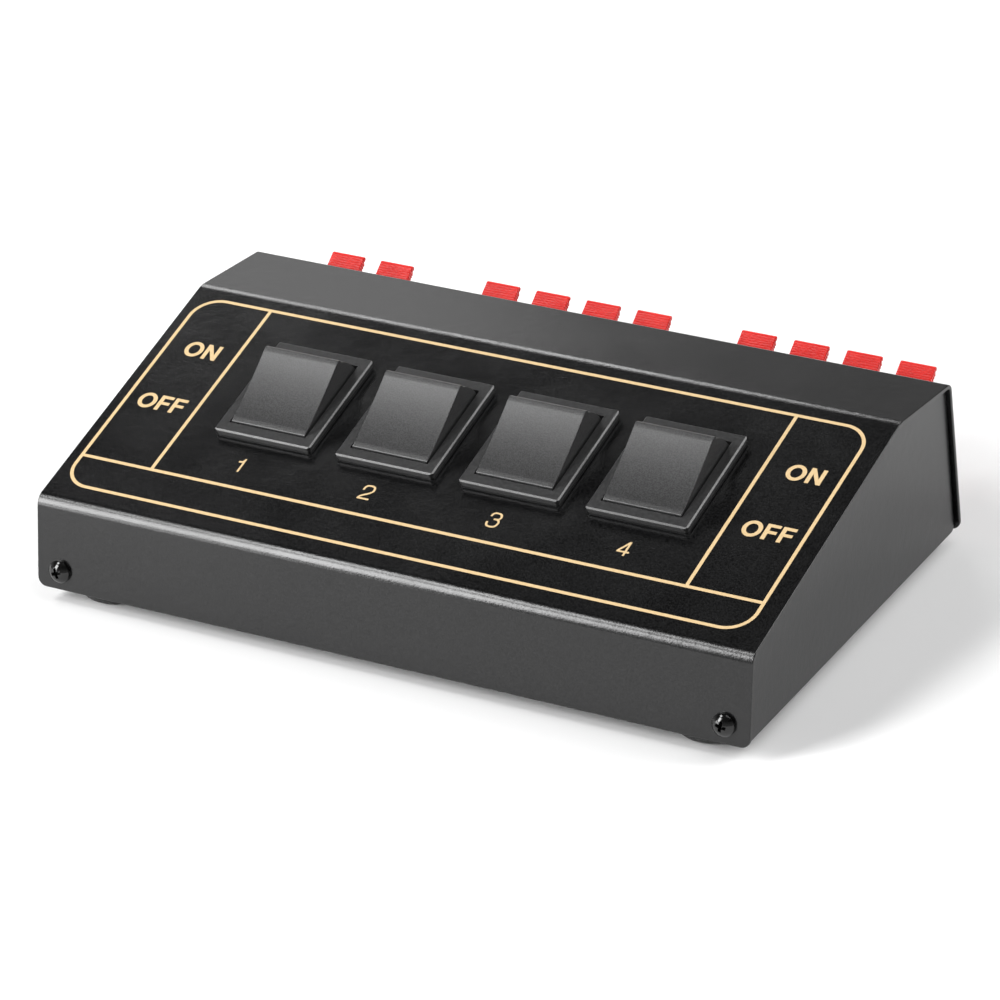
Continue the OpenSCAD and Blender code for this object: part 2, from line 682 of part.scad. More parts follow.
// Side view of a lever in the block's section
module lever_2d() {
    toothed = tab_len - 2 * bead_r - 0.8;        // length of the toothed underside
    polygon(concat(
        [lever_pivot + [0, hub_r], elbow, thumb_tip],
        [for (k = [0:teeth - 1]) for (e = [0, 1])
            thumb_tip - tab_dir * (2 * bead_r + toothed * (k + e / 2) / teeth)
                + tab_down * (lever_t - (1 - e) * tooth)],
        [elbow + [tooth, -lever_t], lever_pivot + [hub_r, -arm_drop], lever_pivot + [0, -hub_r]]
    ));
    translate(lever_pivot) circle(hub_r, $fn = 48);
    translate(bead) circle(bead_r, $fn = 36);
    polygon([
        lever_pivot + [-hub_r, 0], leg_tip - [leg_w / 2, 0], leg_tip + [leg_w / 2, 0], lever_pivot + [hub_r, 0]
    ]);
}

module lever() {
    across(lever_w) lever_2d();
    translate([0, lever_pivot[0], lever_pivot[1]]) rotate([0, 90, 0])
        cylinder(r = pin_r, h = pole_w + 2 * (pin_l - pin_fit), center = true, $fn = 48);
}

module red_lever(i) color("#e23a34") in_frame() on_rear(red_x[i - 1]) lever();
module black_lever(i) color("#161617") in_frame() on_rear(red_x[i - 1]) mirror([0, 0, 1]) lever();

// Side view of a clip: solder tag, back, floor and sprung tongue
module clip_2d() {
    back = back_wall - block_d;
    low = mid_wall;
    front = back + clip_floor;
    tag = -block_d - clip_tag;
    polygon([
        [back + clip_t, clip_tag_up + clip_t], [back + clip_t, low + clip_t], [front - clip_t, low + clip_t],
        [front - tongue_back - clip_t, tongue_top], [front - tongue_back, tongue_top],
        [front, low + clip_t / 2], [front, low],
        [back, low], [back, clip_tag_up], [tag, clip_tag_up], [tag, clip_tag_up + clip_t]
    ]);
}

module clip_set(n, x) color("#c7b27a") in_frame() on_rear(x) for (p = pole_offsets(n), m = [0, 1])
    translate([p, 0, 0]) mirror([0, 0, m]) across(clip_w) clip_2d();

module input_clips() clip_set(2, input_x);
module output_clips_a() clip_set(4, output_a_x);
module output_clips_b() clip_set(4, output_b_x);

// Rivets through the blocks' ears and the rear wall
module block_rivets() color("#1a1a1a") in_frame() for (b = blocks, s = channels)
    on_rear(b[0]) translate([s * rivet_x(b[1]), 0, 0]) {
        translate([0, plate_t + rivet_head_h, 0]) bar_y(rivet_head_r, rivet_head_h);
        translate([0, plate_t + eps, 0]) bar_y(rivet_r, plate_t + sheet + 2 * eps);
        translate([0, -sheet, 0]) bar_y(rivet_r + rivet_set, rivet_set);
    }

function bus_pt(x, at) = slope_pt(x, switch_up + at[0], -body_d - at[1]);

// Red leads from the input block to the switches' two supply wires
module input_leads() color("#b3261e") in_frame() {
    tube(eased([
        rear_pt(red_x[0], -tag_end - touch, tag_mid), rear_pt(red_x[0], -tag_end - turn_out, tag_mid),
        bus_pt(red_x[0], bus_left), bus_pt(supply_left - touch, bus_left)
    ], lead_bend), lead_r);
    tube(eased([
        rear_pt(red_x[1], -tag_end - touch, tag_mid), rear_pt(red_x[1], -tag_end - turn_out, tag_mid),
        bus_pt(red_x[1], bus_left) + [0, 0, lead_step], bus_pt(red_x[1], bus_right),
        bus_pt(supply_right - touch, bus_right)
    ], lead_bend), lead_r);
}

// Leads from each switch's end tags to the red clips of the output blocks
module output_leads() color("#b3261e") in_frame() for (i = switches, c = [0, 1]) {
    x = switch_x(i) + channels[c] * pole_x;
    to = output_x[2 * (i - 1) + c];
    tip = slope_pt(x, switch_up - end_tag_s, -tag_tip - touch);
    tube(eased([
        tip, [x, tip[1] + 1, lead_lane],
        [to, rear_pt(0, -tag_end - turn_out, 0)[1], lead_lane],
        rear_pt(to, -tag_end - turn_out, tag_mid), rear_pt(to, -tag_end - touch, tag_mid)
    ], lead_bend), lead_r);
}

// Bare wires that join the switches' middle tags, one for each channel
module switch_busbars() color("#b9bdc2") in_frame() for (c = [0, 1]) {
    at = c == 0 ? bus_left : bus_right;
    from = c == 0 ? supply_left : supply_right;
    side = sign(at[0]);
    rod(bus_pt(from, at), bus_pt(switch_x(4) + channels[c] * pole_x + 2 * bus_r, at), bus_r);
    for (i = switches) {
        x = switch_x(i) + channels[c] * pole_x;
        rod(bus_pt(x, at), bus_pt(x, [side * (tag_t / 2 + touch), at[1]]), tie_r);
    }
}

// Bare wires that join the black clips of each channel
module return_busbars() color("#b9bdc2") in_frame() for (c = [0, 1]) {
    out = -block_d - return_out;
    side = c == 0 ? -1 : 1;
    level = -tag_mid + side * return_drop;
    rod(rear_pt(red_x[c] - 2 * bus_r, out, level), rear_pt(red_x[8 + c] + 2 * bus_r, out, level), bus_r);
    for (k = [0:4]) {
        x = red_x[2 * k + c];
        rod(rear_pt(x, out, level), rear_pt(x, out, -tag_mid + side * (clip_t / 2 + touch)), tie_r);
    }
}

top_cover();
base_tray();
feet();
cover_screws_front();
cover_screws_rear();
for (i = switches) {
    rocker_cap(i);
    rocker_plungers(i);
    plunger_springs(i);
    contact_blades(i);
    switch_housing(i);
}
switch_terminals();
for (i = red_levers) {
    red_lever(i);
    black_lever(i);
}
input_block();
output_block_a();
output_block_b();
input_clips();
output_clips_a();
output_clips_b();
block_rivets();
input_leads();
output_leads();
switch_busbars();
return_busbars();
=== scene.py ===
import math

import bmesh
import bpy
from mathutils import Matrix, Vector


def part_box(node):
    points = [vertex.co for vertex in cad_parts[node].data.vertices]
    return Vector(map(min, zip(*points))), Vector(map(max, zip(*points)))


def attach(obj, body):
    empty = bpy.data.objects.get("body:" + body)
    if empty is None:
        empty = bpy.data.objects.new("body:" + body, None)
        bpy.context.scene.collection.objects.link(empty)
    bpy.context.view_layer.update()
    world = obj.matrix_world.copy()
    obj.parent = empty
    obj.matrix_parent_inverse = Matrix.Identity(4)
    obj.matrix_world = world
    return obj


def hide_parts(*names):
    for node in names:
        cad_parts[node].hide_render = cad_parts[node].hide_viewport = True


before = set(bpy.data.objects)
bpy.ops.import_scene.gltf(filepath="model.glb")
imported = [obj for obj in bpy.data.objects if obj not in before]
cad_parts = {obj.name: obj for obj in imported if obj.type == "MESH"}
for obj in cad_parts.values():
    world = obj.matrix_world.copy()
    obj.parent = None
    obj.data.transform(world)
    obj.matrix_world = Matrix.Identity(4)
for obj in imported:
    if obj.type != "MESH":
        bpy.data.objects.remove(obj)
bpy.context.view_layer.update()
mm = 0.001
print("frame loaded")

# places on the case, in millimetres as the solids have them
caseShape = {
    "width": 182, "frontHeight": 21, "frontLean": 9.5,
    "slopeLength": 76, "slopeTilt": 15.5,
    "bandLength": 26, "bandFall": 5.6, "rearLean": 5.2,
    "lift": 4.0,              # cover's lower edge above the floor
    "sheet": 1.0,
    "blockUp": 20.8,          # middle of the terminal blocks on the rear wall
}
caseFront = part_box("top_cover")[0].y / mm

closeEnough = 1e-6                        # merge distance and slack of the tests by place, in metres
flatEnough = math.radians(0.4)            # faces that turn less than this are one flat face
crosswise = (0, math.radians(90), 0)      # lays a cylinder along x


def sine(angle):
    return math.sin(math.radians(angle))


def cosine(angle):
    return math.cos(math.radians(angle))


def tangent(angle):
    return math.tan(math.radians(angle))


def caseCorners():
    # side view of the cover, from the foot of its front wall to the foot of its rear wall
    c = caseShape
    tilt, fall = c["slopeTilt"], c["bandFall"]
    front = (c["frontHeight"] * tangent(c["frontLean"]), c["frontHeight"])
    upper = (front[0] + c["slopeLength"] * cosine(tilt), front[1] + c["slopeLength"] * sine(tilt))
    rear = (upper[0] + c["bandLength"] * cosine(fall), upper[1] - c["bandLength"] * sine(fall))
    rearFoot = (rear[0] + rear[1] * tangent(c["rearLean"]), 0)
    return [(0, 0), front, upper, rear, rearFoot]


def onCase(x, y, z):
    return Vector((x, y + caseFront, z + caseShape["lift"])) * mm


def onSlope(x, up, out=0):
    y, z = caseCorners()[1]
    tilt = caseShape["slopeTilt"]
    return onCase(x, y + up * cosine(tilt) - out * sine(tilt), z + up * sine(tilt) + out * cosine(tilt))


def onFrontWall(x, up, out=0):
    lean = caseShape["frontLean"]
    return onCase(x, up * tangent(lean) - out * cosine(lean), up + out * sine(lean))


def onRearWall(x, out, up):
    lean = caseShape["rearLean"]
    wall = caseCorners()[4][0] - caseShape["blockUp"] * tangent(lean)
    return onCase(x, wall + out * cosine(lean) - up * sine(lean),
                  caseShape["blockUp"] + out * sine(lean) + up * cosine(lean))


# small modelling habits, shared by the pieces below

def letGo():
    if bpy.context.object and bpy.context.object.mode != "OBJECT":
        bpy.ops.object.mode_set(mode="OBJECT")
    bpy.ops.object.select_all(action="DESELECT")


def pick(*pieces):
    letGo()
    for piece in pieces:
        piece.select_set(True)
    bpy.context.view_layer.objects.active = pieces[0]


def edit(piece, kind="VERT"):
    pick(piece)
    bpy.ops.object.mode_set(mode="EDIT")
    bpy.ops.mesh.select_mode(type=kind)
    bpy.ops.mesh.select_all(action="DESELECT")


def choose(kind, test):
    # only the items that pass the test end up selected
    bpy.ops.mesh.select_all(action="DESELECT")
    mesh = bmesh.from_edit_mesh(bpy.context.object.data)
    for item in [one for one in getattr(mesh, kind) if test(one)]:
        item.select_set(True)
    mesh.select_flush_mode()
    bmesh.update_edit_mesh(bpy.context.object.data)


def chooseAll():
    bpy.ops.mesh.select_all(action="SELECT")


def near(vertex, y, z):
    # y and z in millimetres, as in a side view
    return math.hypot(vertex.co.y - y * mm, vertex.co.z - z * mm) < closeEnough


def facesDown(face):
    return face.normal.z < -0.95


def shift(vector):
    bpy.ops.transform.translate(value=vector)


def stretch(x, y, z):
    bpy.ops.transform.resize(value=(x, y, z), center_override=(0, 0, 0))


def pull(vector):
    bpy.ops.mesh.extrude_region_move(TRANSFORM_OT_translate={"value": vector})


def sliceAt(height, **values):
    # a level cut through the whole mesh
    chooseAll()
    bpy.ops.mesh.bisect(plane_co=(0, 0, height * mm), plane_no=(0, 0, 1), **values)


def turnOutwards():
    # every face points out of the mesh, which is then done with
    chooseAll()
    bpy.ops.mesh.normals_make_consistent(inside=False)
    letGo()


def newPiece(name):
    piece = bpy.context.object
    piece.name = name
    piece.data.name = name
    return piece


def applyPlace(piece):
    pick(piece)
    bpy.ops.object.transform_apply(location=True, rotation=True, scale=True)


def applied(piece, kind, **values):
    pick(piece)
    modifier = piece.modifiers.new(kind.lower(), kind)
    for key, value in values.items():
        setattr(modifier, key, value)
    bpy.ops.object.modifier_apply(modifier=modifier.name)


def softenEdges(piece, width, segments, angle):
    # an "edge" value below is these three: millimetres, segments, sharpest angle that is left alone
    applied(piece, "BEVEL", width=width * mm, segments=segments, limit_method="ANGLE",
            angle_limit=math.radians(angle), harden_normals=False, use_clamp_overlap=True)


def smooth(piece, angle=30):
    # smooth over roundings, while the large faces beside them stay flat
    pick(piece)
    bpy.ops.object.shade_smooth_by_angle(angle=math.radians(angle))
    applied(piece, "WEIGHTED_NORMAL", keep_sharp=True, weight=50, mode="FACE_AREA")


def joined(name, *pieces):
    pick(*pieces)
    bpy.ops.object.join()
    return newPiece(name)


def cutAway(piece, cutter):
    applied(piece, "BOOLEAN", operation="DIFFERENCE", object=cutter, solver="EXACT")
    bpy.data.objects.remove(cutter)


def copied(piece, name, offset):
    twin = piece.copy()
    twin.data = piece.data.copy()
    bpy.context.scene.collection.objects.link(twin)
    twin.name = name
    twin.data.name = name
    twin.data.transform(Matrix.Translation(offset))
    return twin


def block(size, place, turn=(0, 0, 0)):
    letGo()
    bpy.ops.mesh.primitive_cube_add(size=1, location=place, rotation=turn)
    cube = bpy.context.object
    cube.scale = [s * mm for s in size]
    applyPlace(cube)
    return cube


def disc(radius, depth, place, turn=(0, 0, 0), vertices=64):
    letGo()
    bpy.ops.mesh.primitive_cylinder_add(vertices=vertices, radius=radius * mm, depth=depth * mm,
                                        location=place, rotation=turn)
    cylinder = bpy.context.object
    applyPlace(cylinder)
    return cylinder


def stripAlong(points, width, name):
    # a flat strip pulled along a side view, left open in edit mode
    letGo()
    bpy.ops.mesh.primitive_plane_add(size=width * mm)
    strip = newPiece(name)
    edit(strip)
    half = width * mm / 2
    choose("verts", lambda v: v.co.y > 0)
    shift((0, points[1][0] * mm - half, points[1][1] * mm))
    choose("verts", lambda v: near(v, -width / 2, 0))
    shift((0, points[0][0] * mm + half, points[0][1] * mm))
    choose("verts", lambda v: near(v, *points[1]))
    for start, end in zip(points[1:], points[2:]):
        pull((0, (end[0] - start[0]) * mm, (end[1] - start[1]) * mm))
    return strip


def prismAlong(points, width, name):
    # the same strip closed on itself, with both sides filled
    prism = stripAlong(points + [points[0]], width, name)
    chooseAll()
    bpy.ops.mesh.remove_doubles(threshold=closeEnough)
    for side in (-1, 1):
        choose("edges", lambda e: all(abs(v.co.x - side * width * mm / 2) < closeEnough for v in e.verts))
        bpy.ops.mesh.edge_face_add()
    turnOutwards()
    return prism


def reworked(nodeName, name):
    # a merged copy of a solid's own mesh, ready for rounding
    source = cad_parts[nodeName]
    piece = bpy.data.objects.new(name, source.data.copy())
    bpy.context.scene.collection.objects.link(piece)
    piece.data.name = name
    piece.data.materials.clear()
    edit(piece)
    chooseAll()
    bpy.ops.mesh.remove_doubles(threshold=closeEnough)
    bpy.ops.mesh.dissolve_limited(angle_limit=flatEnough)
    turnOutwards()
    return piece


def finished(piece, body, material, slot="", *nodes):
    piece.data.materials.clear()
    piece.data.materials.append(material)
    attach(piece, body)
    if nodes:
        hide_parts(*nodes)
    return piece


# finishes

def startMaterial(name):
    material = bpy.data.materials.new(name)
    material.use_nodes = True
    tree = material.node_tree
    return material, tree, tree.nodes["Principled BSDF"]


def node(tree, kind, **values):
    made = tree.nodes.new(kind)
    for key, value in values.items():
        if key in made.inputs:
            made.inputs[key].default_value = value
        else:
            setattr(made, key, value)
    return made


def noiseAt(tree, scale, detail=2.0):
    place = node(tree, "ShaderNodeTexCoord")
    noise = node(tree, "ShaderNodeTexNoise", Scale=scale, Detail=detail, Roughness=0.5)
    tree.links.new(place.outputs["Object"], noise.inputs["Vector"])
    return noise.outputs["Fac"]


def rangeOf(tree, value, low, high, fromLow=0.3, fromHigh=0.7):
    spread = node(tree, "ShaderNodeMapRange")
    for key, number in (("From Min", fromLow), ("From Max", fromHigh), ("To Min", low), ("To Max", high)):
        spread.inputs[key].default_value = number
    tree.links.new(value, spread.inputs["Value"])
    return spread.outputs["Result"]


def rampOf(tree, value, dark, light, low=0.35, high=0.65):
    ramp = node(tree, "ShaderNodeValToRGB")
    for stop, place, tone in zip(ramp.color_ramp.elements, (low, high), (dark, light)):
        stop.position = place
        stop.color = (*tone, 1)
    tree.links.new(value, ramp.inputs["Fac"])
    return ramp.outputs["Color"]


def raised(tree, height, distance, under=None):
    bump = node(tree, "ShaderNodeBump", Strength=1.0, Distance=distance)
    tree.links.new(height, bump.inputs["Height"])
    if under is not None:
        tree.links.new(under, bump.inputs["Normal"])
    return bump.outputs["Normal"]


def worked(tree, operation, value, *others):
    # a math node, in which each of the others is a number or an output
    made = node(tree, "ShaderNodeMath", operation=operation)
    tree.links.new(value, made.inputs[0])
    for socket, other in zip(made.inputs[1:], others):
        if isinstance(other, float):
            socket.default_value = other
        else:
            tree.links.new(other, socket)
    return made.outputs["Value"]


def dress(tree, shader, colour, roughness, normal):
    tree.links.new(colour, shader.inputs["Base Color"])
    tree.links.new(roughness, shader.inputs["Roughness"])
    tree.links.new(normal, shader.inputs["Normal"])


# powder coat: near black, satin, with a fine orange-peel grain
coatLook = {
    "dark": (0.001, 0.001, 0.0011), "light": (0.0088, 0.0088, 0.0091),
    "roughness": (0.2, 0.26), "specular": 0.5, "cloud": 60,
    "grain": 2400, "grainHeight": 0.000024, "peel": 420, "peelHeight": 0.00003,
}
trayCoat = {**coatLook, "dark": (0.006, 0.006, 0.0063), "light": (0.016, 0.016, 0.0165)}


def coatedSheet(name, look):
    material, tree, shader = startMaterial(name)
    grain = noiseAt(tree, look["grain"], 1.0)
    colour = rampOf(tree, grain, look["dark"], look["light"])
    roughness = rangeOf(tree, noiseAt(tree, look["cloud"], 3.0), *look["roughness"])
    peel = raised(tree, noiseAt(tree, look["peel"], 1.5), look["peelHeight"])
    dress(tree, shader, colour, roughness, raised(tree, grain, look["grainHeight"], peel))
    shader.inputs["Specular IOR Level"].default_value = look["specular"]
    return material


# moulded plastic with a spark-eroded or a plain satin skin
mouldLook = {
    "rocker": {"dark": (0.011, 0.011, 0.0112), "light": (0.035, 0.035, 0.0355), "grain": 3400,
               "height": 0.000016, "roughness": (0.28, 0.35), "specular": 0.5},
    "bezel": {"dark": (0.018, 0.018, 0.0183), "light": (0.027, 0.027, 0.0274), "grain": 1500,
              "height": 0.00001, "roughness": (0.28, 0.36), "specular": 0.5},
    "block": {"dark": (0.011, 0.011, 0.012), "light": (0.016, 0.016, 0.017), "grain": 1500,
              "height": 0.00002, "roughness": (0.4, 0.5), "specular": 0.5},
    "plunger": {"dark": (0.6, 0.56, 0.45), "light": (0.7, 0.66, 0.55), "grain": 400,
                "height": 0.000005, "roughness": (0.35, 0.45), "specular": 0.5},
}


def mouldedSkin(name, look):
    material, tree, shader = startMaterial(name)
    grain = noiseAt(tree, look["grain"], 1.0)
    colour = rampOf(tree, grain, look["dark"], look["light"])
    roughness = rangeOf(tree, grain, *look["roughness"])
    dress(tree, shader, colour, roughness, raised(tree, grain, look["height"]))
    shader.inputs["Specular IOR Level"].default_value = look["specular"]
    return material


# push-terminal levers, and their plastic; pairs are out from the rear wall and up from the block's middle
leverLook = {
    "width": 8.8, "thickness": 1.8, "pivot": (-4, 8.2), "hub": 1.6, "hubArc": range(180, 90, -15),
    "elbow": (9.85, 9.36), "elbowCut": 0.5, "elbowRise": 0.015,
    "tabLength": 4.9, "tabRise": 31,
    "bead": 0.6, "beadBack": 0.75, "beadArc": range(90, -141, -23),
    "teeth": 4, "tooth": 0.35, "plainEnd": 0.8,
    "legTip": (-5.5, 4.8), "legWidth": 1.4, "legFront": 1.15,
    "pin": 0.8, "pinLength": 11.2, "pinSides": 40, "edge": (0.16, 2, 28), "shade": 32,
    "ribPitch": 0.62, "ribHeight": 0.00009, "ribFrom": 1.0, "ribTo": 4.4,
    "red": ((0.64, 0.009, 0.006), (0.72, 0.014, 0.009)),
    "black": ((0.010, 0.010, 0.011), (0.015, 0.015, 0.016)),
    "cloud": 250, "grain": 900, "grainHeight": 0.00001, "roughness": (0.38, 0.5), "specular": 0.38,
    "glow": 0.25, "glowRadius": (1.0, 0.12, 0.08), "glowScale": 0.0012,
}


def leverPlastic(name, tones, row):
    # row is 1 for the upper levers and -1 for the lower ones
    look = leverLook
    material, tree, shader = startMaterial(name)
    rise = math.radians(row * look["tabRise"] + caseShape["rearLean"])
    place = node(tree, "ShaderNodeTexCoord")
    fromElbow = node(tree, "ShaderNodeVectorMath", operation="SUBTRACT")
    fromElbow.inputs[1].default_value = onRearWall(0, look["elbow"][0], row * look["elbow"][1])
    alongTab = node(tree, "ShaderNodeVectorMath", operation="DOT_PRODUCT")
    alongTab.inputs[1].default_value = (0, math.cos(rise), math.sin(rise))
    tree.links.new(place.outputs["Object"], fromElbow.inputs[0])
    tree.links.new(fromElbow.outputs["Vector"], alongTab.inputs[0])
    reach = alongTab.outputs["Value"]
    crest = worked(tree, "SINE", worked(tree, "MULTIPLY", reach, 2 * math.pi / (look["ribPitch"] * mm)))
    ribbed = worked(tree, "COMPARE", reach, (look["ribFrom"] + look["ribTo"]) / 2 * mm,
                    (look["ribTo"] - look["ribFrom"]) / 2 * mm)
    ribs = worked(tree, "MULTIPLY", crest, ribbed)
    grain = noiseAt(tree, look["grain"])
    normal = raised(tree, ribs, look["ribHeight"], raised(tree, grain, look["grainHeight"]))
    colour = rampOf(tree, noiseAt(tree, look["cloud"]), *tones)
    dress(tree, shader, colour, rangeOf(tree, grain, *look["roughness"]), normal)
    shader.inputs["Specular IOR Level"].default_value = look["specular"]
    if row > 0:
        shader.inputs["Subsurface Weight"].default_value = look["glow"]
        shader.inputs["Subsurface Radius"].default_value = look["glowRadius"]
        shader.inputs["Subsurface Scale"].default_value = look["glowScale"]
    return material


# bare and finished metal
metalLook = {
    "blackened": {"tones": ((0.003, 0.003, 0.003), (0.006, 0.006, 0.006)), "metallic": 0.0,
                  "roughness": (0.08, 0.14), "grain": 700, "height": 0.000004},
    "tinned": {"tones": ((0.58, 0.59, 0.6), (0.72, 0.73, 0.74)), "metallic": 1.0,
               "roughness": (0.25, 0.38), "grain": 500, "height": 0.000006},
    "spring": {"tones": ((0.5, 0.5, 0.51), (0.62, 0.63, 0.64)), "metallic": 1.0,
               "roughness": (0.2, 0.3), "grain": 900, "height": 0.000004},
    "copper": {"tones": ((0.66, 0.36, 0.2), (0.78, 0.46, 0.27)), "metallic": 1.0,
               "roughness": (0.22, 0.34), "grain": 600, "height": 0.000004},
    "clip": {"tones": ((0.55, 0.43, 0.22), (0.68, 0.55, 0.3)), "metallic": 1.0,
             "roughness": (0.24, 0.36), "grain": 600, "height": 0.000005},
}


def metalFinish(name, look):
    material, tree, shader = startMaterial(name)
    grain = noiseAt(tree, look["grain"], 3.0)
    colour = rampOf(tree, grain, *look["tones"])
    roughness = rangeOf(tree, grain, *look["roughness"])
    dress(tree, shader, colour, roughness, raised(tree, grain, look["height"]))
    shader.inputs["Metallic"].default_value = look["metallic"]
    return material


# foot rubber: matt, with pale specks
rubberLook = {
    "dark": (0.011, 0.011, 0.011), "light": (0.02, 0.02, 0.02), "cloud": 700,
    "speck": (0.07, 0.07, 0.07), "speckScale": 3200, "speckRange": (0.62, 0.7),
    "roughScale": 900, "roughness": (0.62, 0.8), "grain": 1800, "height": 0.00004,
}


def footRubber(name):
    look = rubberLook
    material, tree, shader = startMaterial(name)
    base = rampOf(tree, noiseAt(tree, look["cloud"]), look["dark"], look["light"])
    specks = rangeOf(tree, noiseAt(tree, look["speckScale"], 0.0), 0.0, 1.0, *look["speckRange"])
    mix = node(tree, "ShaderNodeMix", data_type="RGBA")
    tree.links.new(specks, mix.inputs["Factor"])
    tree.links.new(base, mix.inputs["A"])
    mix.inputs["B"].default_value = (*look["speck"], 1)
    roughness = rangeOf(tree, noiseAt(tree, look["roughScale"]), *look["roughness"])
    normal = raised(tree, noiseAt(tree, look["grain"]), look["height"])
    dress(tree, shader, mix.outputs["Result"], roughness, normal)
    return material


# printing ink: pale gold, thin and slightly uneven; lead insulation: soft red, a little glossy
inkLook = {
    "dark": (0.61, 0.435, 0.218), "light": (0.67, 0.487, 0.262),
    "roughness": (0.5, 0.6), "cloud": 1200, "detail": 3.0, "height": 0.000004,
}
leadLook = {
    "dark": (0.42, 0.015, 0.012), "light": (0.5, 0.022, 0.016),
    "roughness": (0.35, 0.45), "cloud": 300, "detail": 2.0, "height": 0.00001,
}


def cloudedSkin(name, look):
    material, tree, shader = startMaterial(name)
    cloud = noiseAt(tree, look["cloud"], look["detail"])
    colour = rampOf(tree, cloud, look["dark"], look["light"])
    roughness = rangeOf(tree, cloud, *look["roughness"])
    dress(tree, shader, colour, roughness, raised(tree, cloud, look["height"]))
    return material


coverPaint = coatedSheet("coverPaint", coatLook)
trayPaint = coatedSheet("trayPaint", trayCoat)
rockerPlastic = mouldedSkin("rockerPlastic", mouldLook["rocker"])
bezelPlastic = mouldedSkin("bezelPlastic", mouldLook["bezel"])
blockPlastic = mouldedSkin("blockPlastic", mouldLook["block"])
plungerPlastic = mouldedSkin("plungerPlastic", mouldLook["plunger"])
redPlastic = leverPlastic("redPlastic", leverLook["red"], 1)
blackPlastic = leverPlastic("blackPlastic", leverLook["black"], -1)
blackScrew = metalFinish("blackScrew", metalLook["blackened"])
tinnedMetal = metalFinish("tinnedMetal", metalLook["tinned"])
springSteel = metalFinish("springSteel", metalLook["spring"])
copperStrip = metalFinish("copperStrip", metalLook["copper"])
clipStrip = metalFinish("clipStrip", metalLook["clip"])
rubberSkin = footRubber("rubberSkin")
goldInk = cloudedSkin("goldInk", inkLook)
redLead = cloudedSkin("redLead", leadLook)
print("finishes ready")


# the wrap cover, one sheet bent over three edges, with openings for what sits in it
coverLook = {
    "bendRadii": (3.2, 6.0, 2.0),     # outside, front to rear
    "bendSteps": 14, "cornerRadius": 2.2, "cornerSteps": 6, "edge": (0.2, 3, 50), "cutDepth": 6,
}
trayLook = {"edge": (0.22, 3, 50)}
switchLook = {"count": 4, "pitch": 32, "up": 45.7, "opening": (22.2, 28.2), "edge": (0.07, 2, 30)}
switchPlaces = [(k - (switchLook["count"] - 1) / 2) * switchLook["pitch"] for k in range(switchLook["count"])]
terminalLook = {
    "blocks": ((-68.6, 2), (-12.4, 4), (55.5, 4)),      # middle, poles
    "pitch": 13.5, "opening": 23.4, "sideRoom": 1,
    "edge": (0.25, 3, 35), "rivetEdge": (0.5, 4, 35),
}
screwLook = {
    "across": 84.8, "up": 4.5, "twists": (20, -12),
    "head": 2.7, "height": 2.1, "dome": 3.4, "domeSteps": (64, 48),
    "slot": (3.4, 1), "slotDepth": 1.7, "slotTaper": 0.55,
    "shank": 1.45, "shankLength": 6, "shankSides": 32, "holeRoom": 0.1,
    "edge": (0.08, 2, 40), "shade": 35,
}
frontTurn = math.radians(90 - caseShape["frontLean"])
rearTurn = -math.radians(90 - caseShape["rearLean"])


def rearScrewPlace(x):
    up = screwLook["up"]
    return onCase(x, caseCorners()[4][0] - up * tangent(caseShape["rearLean"]), up)


def coverCutters():
    depth = coverLook["cutDepth"]
    tilt, lean = math.radians(caseShape["slopeTilt"]), math.radians(caseShape["rearLean"])
    cutters = [block((*switchLook["opening"], depth), onSlope(x, switchLook["up"]), (tilt, 0, 0))
               for x in switchPlaces]
    for x, poles in terminalLook["blocks"]:
        wide = poles * terminalLook["pitch"] + terminalLook["sideRoom"]
        cutters.append(block((wide, depth, terminalLook["opening"]), onRearWall(x, 0, 0), (lean, 0, 0)))
    hole, sides = screwLook["shank"] + screwLook["holeRoom"], screwLook["shankSides"]
    for x in (-screwLook["across"], screwLook["across"]):
        cutters.append(disc(hole, depth, onFrontWall(x, screwLook["up"]), (frontTurn, 0, 0), sides))
        cutters.append(disc(hole, depth, rearScrewPlace(x), (rearTurn, 0, 0), sides))
    return joined("coverCutters", *cutters)


def makeCover():
    points = [(y + caseFront, z + caseShape["lift"]) for y, z in caseCorners()]
    cover = stripAlong(points, caseShape["width"], "wrapCover")
    bpy.ops.mesh.select_mode(type="EDGE")
    for before, here, after, radius in zip(points, points[1:], points[2:], coverLook["bendRadii"]):
        turn = abs(math.atan2(here[1] - before[1], here[0] - before[0])
                   - math.atan2(after[1] - here[1], after[0] - here[0]))
        choose("edges", lambda e: all(near(v, *here) for v in e.verts))
        bpy.ops.mesh.bevel(offset=radius * math.tan(turn / 2) * mm, segments=coverLook["bendSteps"],
                           affect="EDGES")
    bpy.ops.mesh.select_mode(type="VERT")
    choose("verts", lambda v: abs(v.co.z - caseShape["lift"] * mm) < closeEnough)
    bpy.ops.mesh.bevel(offset=coverLook["cornerRadius"] * mm, segments=coverLook["cornerSteps"],
                       affect="VERTICES")
    applied(cover, "SOLIDIFY", thickness=caseShape["sheet"] * mm, offset=-1, use_even_offset=True)
    cutAway(cover, coverCutters())
    softenEdges(cover, *coverLook["edge"])
    smooth(cover)
    return finished(cover, "root", coverPaint, "cover_paint", "top_cover")


def makeTray():
    tray = reworked("base_tray", "sideTray")
    softenEdges(tray, *trayLook["edge"])
    smooth(tray)
    return finished(tray, "root", trayPaint, "tray_paint", "base_tray")


makeCover()
makeTray()
print("case made")


